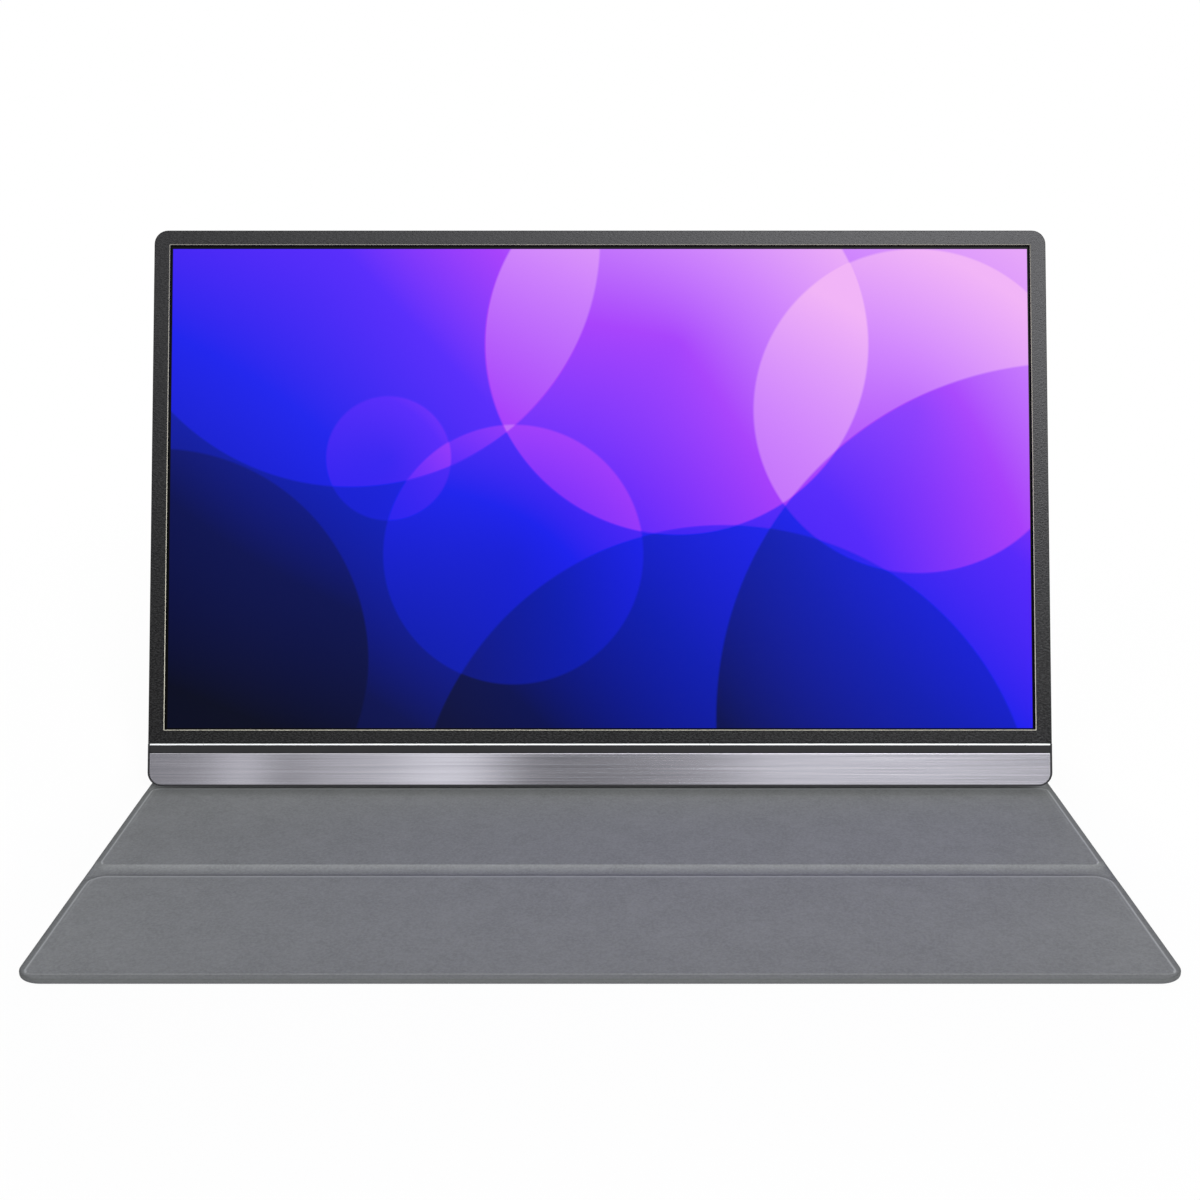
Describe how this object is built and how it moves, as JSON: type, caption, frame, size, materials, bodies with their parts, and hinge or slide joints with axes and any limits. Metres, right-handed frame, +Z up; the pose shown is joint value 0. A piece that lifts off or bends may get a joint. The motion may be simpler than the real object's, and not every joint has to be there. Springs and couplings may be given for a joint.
{
  "type": "portable monitor with folding cover",
  "caption": "Slim 15.6 inch portable monitor held on a grey folding leather cover that stands as a tent, with a brushed metal chin, side ports, a dial and a button.",
  "frame": {"origin": "middle of the groove that takes the monitor's foot, on the underside of the cover's base, where it lies on the table", "axes": "+X to the viewer's right along the monitor's width, +Y away from the viewer, +Z up"},
  "size_m": [0.3626, 0.2359, 0.2165],
  "materials": {
    "housing": "matte",
    "bezel": "matte",
    "brushed": "satin",
    "trim": "matte",
    "accent": "polished",
    "black_plastic": "matte",
    "screen_glass": "gloss",
    "foam": "matte",
    "film": "gloss",
    "guide": "gloss",
    "white_plastic": "matte",
    "led_strip": "satin",
    "sheet_metal": "satin",
    "circuit_board": "satin",
    "amber_film": "gloss",
    "ribbon": "satin",
    "shell_steel": "satin",
    "chip": "matte",
    "magnet": "satin",
    "screw": "satin",
    "wire": "satin",
    "clear": "gloss",
    "button": "satin",
    "leather": "matte",
    "lining": "matte",
    "grey_board": "matte"
  },
  "bodies": {
    "base": {"base_skin": "leather", "base_lining": "lining", "rear_strip_board": "grey_board", "spine_board": "grey_board"},
    "middle_flap": {"middle_flap_skin": "leather", "middle_flap_lining": "lining", "middle_flap_board": "grey_board"},
    "front_flap": {"front_flap_skin": "leather", "front_flap_lining": "lining", "front_flap_board": "grey_board", "flap_magnets": "magnet"},
    "leg": {"leg_skin": "leather", "leg_lining": "lining", "leg_board": "grey_board"},
    "back_panel": {"back_panel_skin": "leather", "back_panel_lining": "lining", "back_panel_board": "grey_board", "cover_magnets": "magnet"},
    "monitor": {"rear_housing": "housing", "front_bezel": "bezel", "chin_plate": "brushed", "trim_strip": "trim", "accent_strip": "accent", "chin_carrier": "black_plastic", "lcd_cell": "screen_glass", "screen_gasket": "foam", "prism_films": "film", "light_guide": "guide", "reflector_sheet": "film", "led_bar": "led_strip", "backlight_frame": "white_plastic", "panel_tray": "sheet_metal", "panel_driver_board": "circuit_board", "driver_films": "amber_film", "display_cable": "ribbon", "scaler_board": "circuit_board", "board_chips": "chip", "shield_can": "shell_steel", "usb_c_port_lower": "shell_steel", "usb_c_port_upper": "shell_steel", "mini_hdmi_port": "shell_steel", "audio_jack": "black_plastic", "audio_board": "circuit_board", "button_board": "circuit_board", "power_switch": "black_plastic", "wheel_encoder": "black_plastic", "button_ribbon": "ribbon", "speaker_left": "black_plastic", "speaker_right": "black_plastic", "speaker_wires": "wire", "housing_magnets": "magnet", "closure_magnets": "magnet", "board_screws": "screw", "light_pipe": "clear"},
    "power_button": {"power_button": "button"},
    "wheel_carrier": {"wheel_carrier": "shell_steel"},
    "scroll_wheel": {"scroll_wheel": "black_plastic"}
  },
  "joints": [
    {"name": "rear_fold", "type": "hinge", "parent": "base", "child": "leg", "pos_m": [0, 0.08127, 0.0011], "axis": [1, 0, 0], "range_deg": [-18.5, 20.3]},
    {"name": "tilt_fold", "type": "hinge", "parent": "leg", "child": "back_panel", "pos_m": [0, 0.03999, 0.12268], "axis": [-1, 0, 0], "range_deg": [-36.9, 40.4]},
    {"name": "middle_flap_fold", "type": "hinge", "parent": "base", "child": "middle_flap", "pos_m": [0, -0.0045, 0.0011], "axis": [1, 0, 0], "range_deg": [-25, 0]},
    {"name": "front_flap_fold", "type": "hinge", "parent": "middle_flap", "child": "front_flap", "pos_m": [0, -0.0785, 0.0011], "axis": [1, 0, 0], "range_deg": [-140, 0]},
    {"name": "monitor_lift_off", "type": "slide", "parent": "back_panel", "child": "monitor", "axis": [0, -0.9484, 0.317], "range_m": [0, 0.04]},
    {"name": "power_button_press", "type": "slide", "parent": "monitor", "child": "power_button", "axis": [1, 0, 0], "range_m": [0, 0.00035], "stiffness_N_per_m": 3000},
    {"name": "wheel_push", "type": "slide", "parent": "monitor", "child": "wheel_carrier", "axis": [1, 0, 0], "range_m": [0, 0.0003], "stiffness_N_per_m": 3000},
    {"name": "wheel_turn", "type": "hinge", "parent": "wheel_carrier", "child": "scroll_wheel", "pos_m": [-0.1749, 0.01055, 0.04896], "axis": [0, -0.9484, 0.317], "range_deg": [-20, 20], "stiffness_Nm_per_rad": 0.01}
  ],
  "couplings": [
    {"joint": "rear_fold", "follows": "tilt_fold", "ratio": 0.5}
  ]
}
